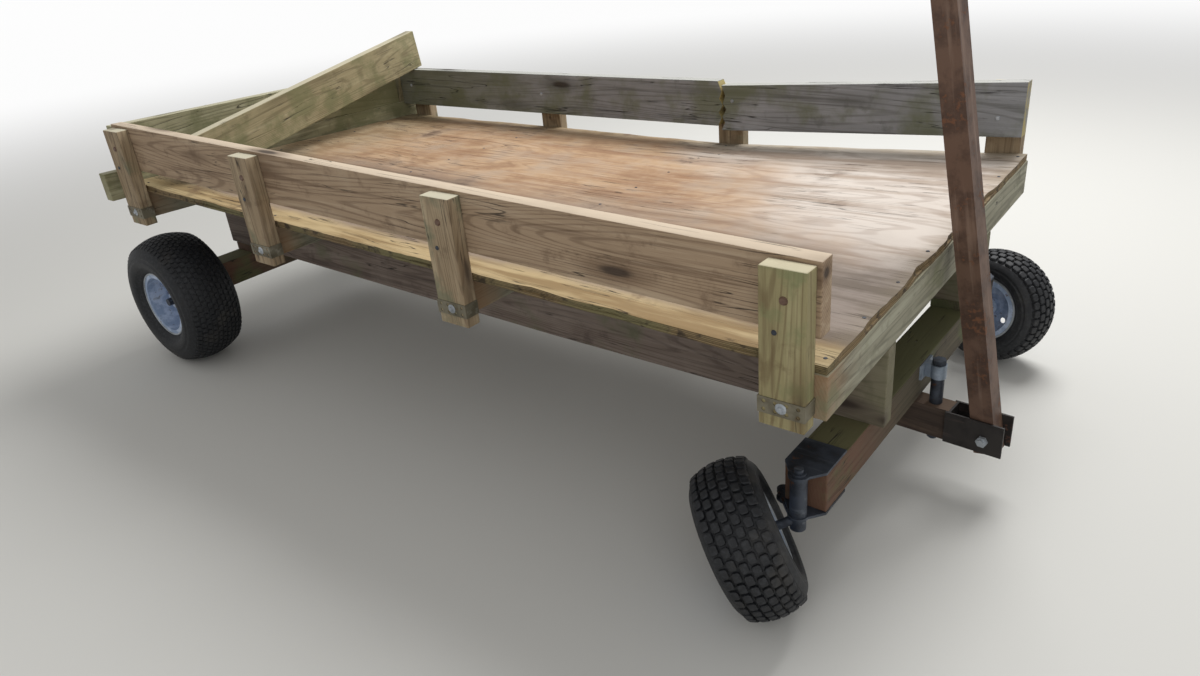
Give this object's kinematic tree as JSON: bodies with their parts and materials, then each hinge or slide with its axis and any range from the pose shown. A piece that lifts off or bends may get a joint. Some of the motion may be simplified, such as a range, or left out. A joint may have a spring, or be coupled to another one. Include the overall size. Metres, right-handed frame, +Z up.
{
  "type": "flatbed garden wagon",
  "caption": "Weathered wooden flatbed garden wagon with stake sides, hinged front wheels steered by a tongue, and an upright steel drawbar.",
  "frame": {"origin": "middle of the wagon's outline seen from above, on the ground", "axes": "+X forward to the drawbar, +Y to the left, +Z up"},
  "size_m": [2.7642, 1.5382, 1.3686],
  "materials": {
    "plywood": "weathered, bleached and cracked",
    "stake_lumber": "weathered, greenish",
    "board_lumber": "weathered grey and brown, algae",
    "frame_lumber": "weathered grey, mossy ends",
    "rusted_steel": "rusted",
    "dull_steel": "dull galvanised, dirty",
    "rim_paint": "chalky light paint, dirty",
    "tyre": "dusty black rubber"
  },
  "bodies": {
    "wagon": {"beam_left": "frame_lumber", "beam_right": "frame_lumber", "corner_post": "stake_lumber", "deck_sheet": "plywood", "front_axle": "frame_lumber", "front_yoke_left": "dull_steel", "front_yoke_right": "dull_steel", "joist_1": "frame_lumber", "joist_2": "frame_lumber", "joist_3": "frame_lumber", "joist_4": "frame_lumber", "king_bolt": "rusted_steel", "king_bushing": "dull_steel", "loose_board": "board_lumber", "packing_front_left": "frame_lumber", "packing_rear_right": "frame_lumber", "rear_axle": "frame_lumber", "rear_rail": "board_lumber", "rear_stub_left": "dull_steel", "rear_stub_right": "dull_steel", "side_board_left_front": "board_lumber", "side_board_left_rear": "board_lumber", "side_board_right": "board_lumber", "stake_left_1": "stake_lumber", "stake_left_2": "stake_lumber", "stake_left_3": "stake_lumber", "stake_left_4": "stake_lumber", "stake_right_1": "stake_lumber", "stake_right_2": "stake_lumber", "stake_right_3": "stake_lumber", "stake_right_4": "stake_lumber", "straps_left": "dull_steel", "straps_right": "dull_steel", "tail_board": "board_lumber"},
    "tongue": {"tongue_block": "frame_lumber", "lever_bolt": "rusted_steel", "fork_web": "rusted_steel", "fork_cheek_right": "rusted_steel", "fork_cheek_left": "rusted_steel", "drawbar_bolt": "rusted_steel"},
    "drawbar": {"drawbar": "rusted_steel"},
    "knuckle_right": {"knuckle_right": "dull_steel"},
    "knuckle_left": {"knuckle_left": "dull_steel"},
    "tie_rod_right": {"tie_rod_right": "dull_steel"},
    "tie_rod_left": {"tie_rod_left": "dull_steel"},
    "wheel_front_right": {"tyre_front_right": "tyre", "rim_front_right": "rim_paint"},
    "wheel_front_left": {"tyre_front_left": "tyre", "rim_front_left": "rim_paint"},
    "wheel_rear_right": {"tyre_rear_right": "tyre", "rim_rear_right": "rim_paint"},
    "wheel_rear_left": {"tyre_rear_left": "tyre", "rim_rear_left": "rim_paint"}
  },
  "joints": [
    {"name": "tongue_yaw", "type": "hinge", "parent": "wagon", "child": "tongue", "pos_m": [1.2123, 0.01068, 0.2], "axis": [0, 0, 1], "range_deg": [-4, 24]},
    {"name": "drawbar_tilt", "type": "hinge", "parent": "tongue", "child": "drawbar", "pos_m": [1.33699, 0.00196, 0.148], "axis": [0.0698, 0.9976, 0], "range_deg": [0, 105]},
    {"name": "knuckle_right_steer", "type": "hinge", "parent": "wagon", "child": "knuckle_right", "pos_m": [1.1353, -0.54932, 0.25], "axis": [0, 0, 1], "range_deg": [-7, 41.5]},
    {"name": "knuckle_left_steer", "type": "hinge", "parent": "wagon", "child": "knuckle_left", "pos_m": [1.1353, 0.57068, 0.25], "axis": [0, 0, 1], "range_deg": [-6.5, 36.5]},
    {"name": "tie_rod_right_pivot", "type": "hinge", "parent": "tongue", "child": "tie_rod_right", "pos_m": [1.06266, 0.02115, 0.176], "axis": [0, 0, 1], "range_deg": [-29.5, 5.5]},
    {"name": "tie_rod_left_pivot", "type": "hinge", "parent": "tongue", "child": "tie_rod_left", "pos_m": [1.06266, 0.02115, 0.185], "axis": [0, 0, 1], "range_deg": [-24, 4.5]},
    {"name": "wheel_front_right_spin", "type": "hinge", "parent": "knuckle_right", "child": "wheel_front_right", "pos_m": [1.05836, -0.61162, 0.16203], "axis": [-0.7206, -0.5835, -0.3746], "continuous": true},
    {"name": "wheel_rear_right_spin", "type": "hinge", "parent": "wagon", "child": "wheel_rear_right", "pos_m": [-1.1597, -0.57432, 0.224], "axis": [0, -1, 0], "continuous": true},
    {"name": "wheel_front_left_spin", "type": "hinge", "parent": "knuckle_left", "child": "wheel_front_left", "pos_m": [1.15757, 0.66714, 0.16428], "axis": [0.2228, 0.9649, -0.1392], "continuous": true},
    {"name": "wheel_rear_left_spin", "type": "hinge", "parent": "wagon", "child": "wheel_rear_left", "pos_m": [-1.1597, 0.59568, 0.224], "axis": [0, 1, 0], "continuous": true}
  ],
  "couplings": [
    {"joint": "knuckle_right_steer", "follows": "tongue_yaw", "ratio": 1.7069},
    {"joint": "knuckle_left_steer", "follows": "tongue_yaw", "ratio": 1.5038},
    {"joint": "tie_rod_right_pivot", "follows": "tongue_yaw", "ratio": -1.2022},
    {"joint": "tie_rod_left_pivot", "follows": "tongue_yaw", "ratio": -0.9818}
  ]
}
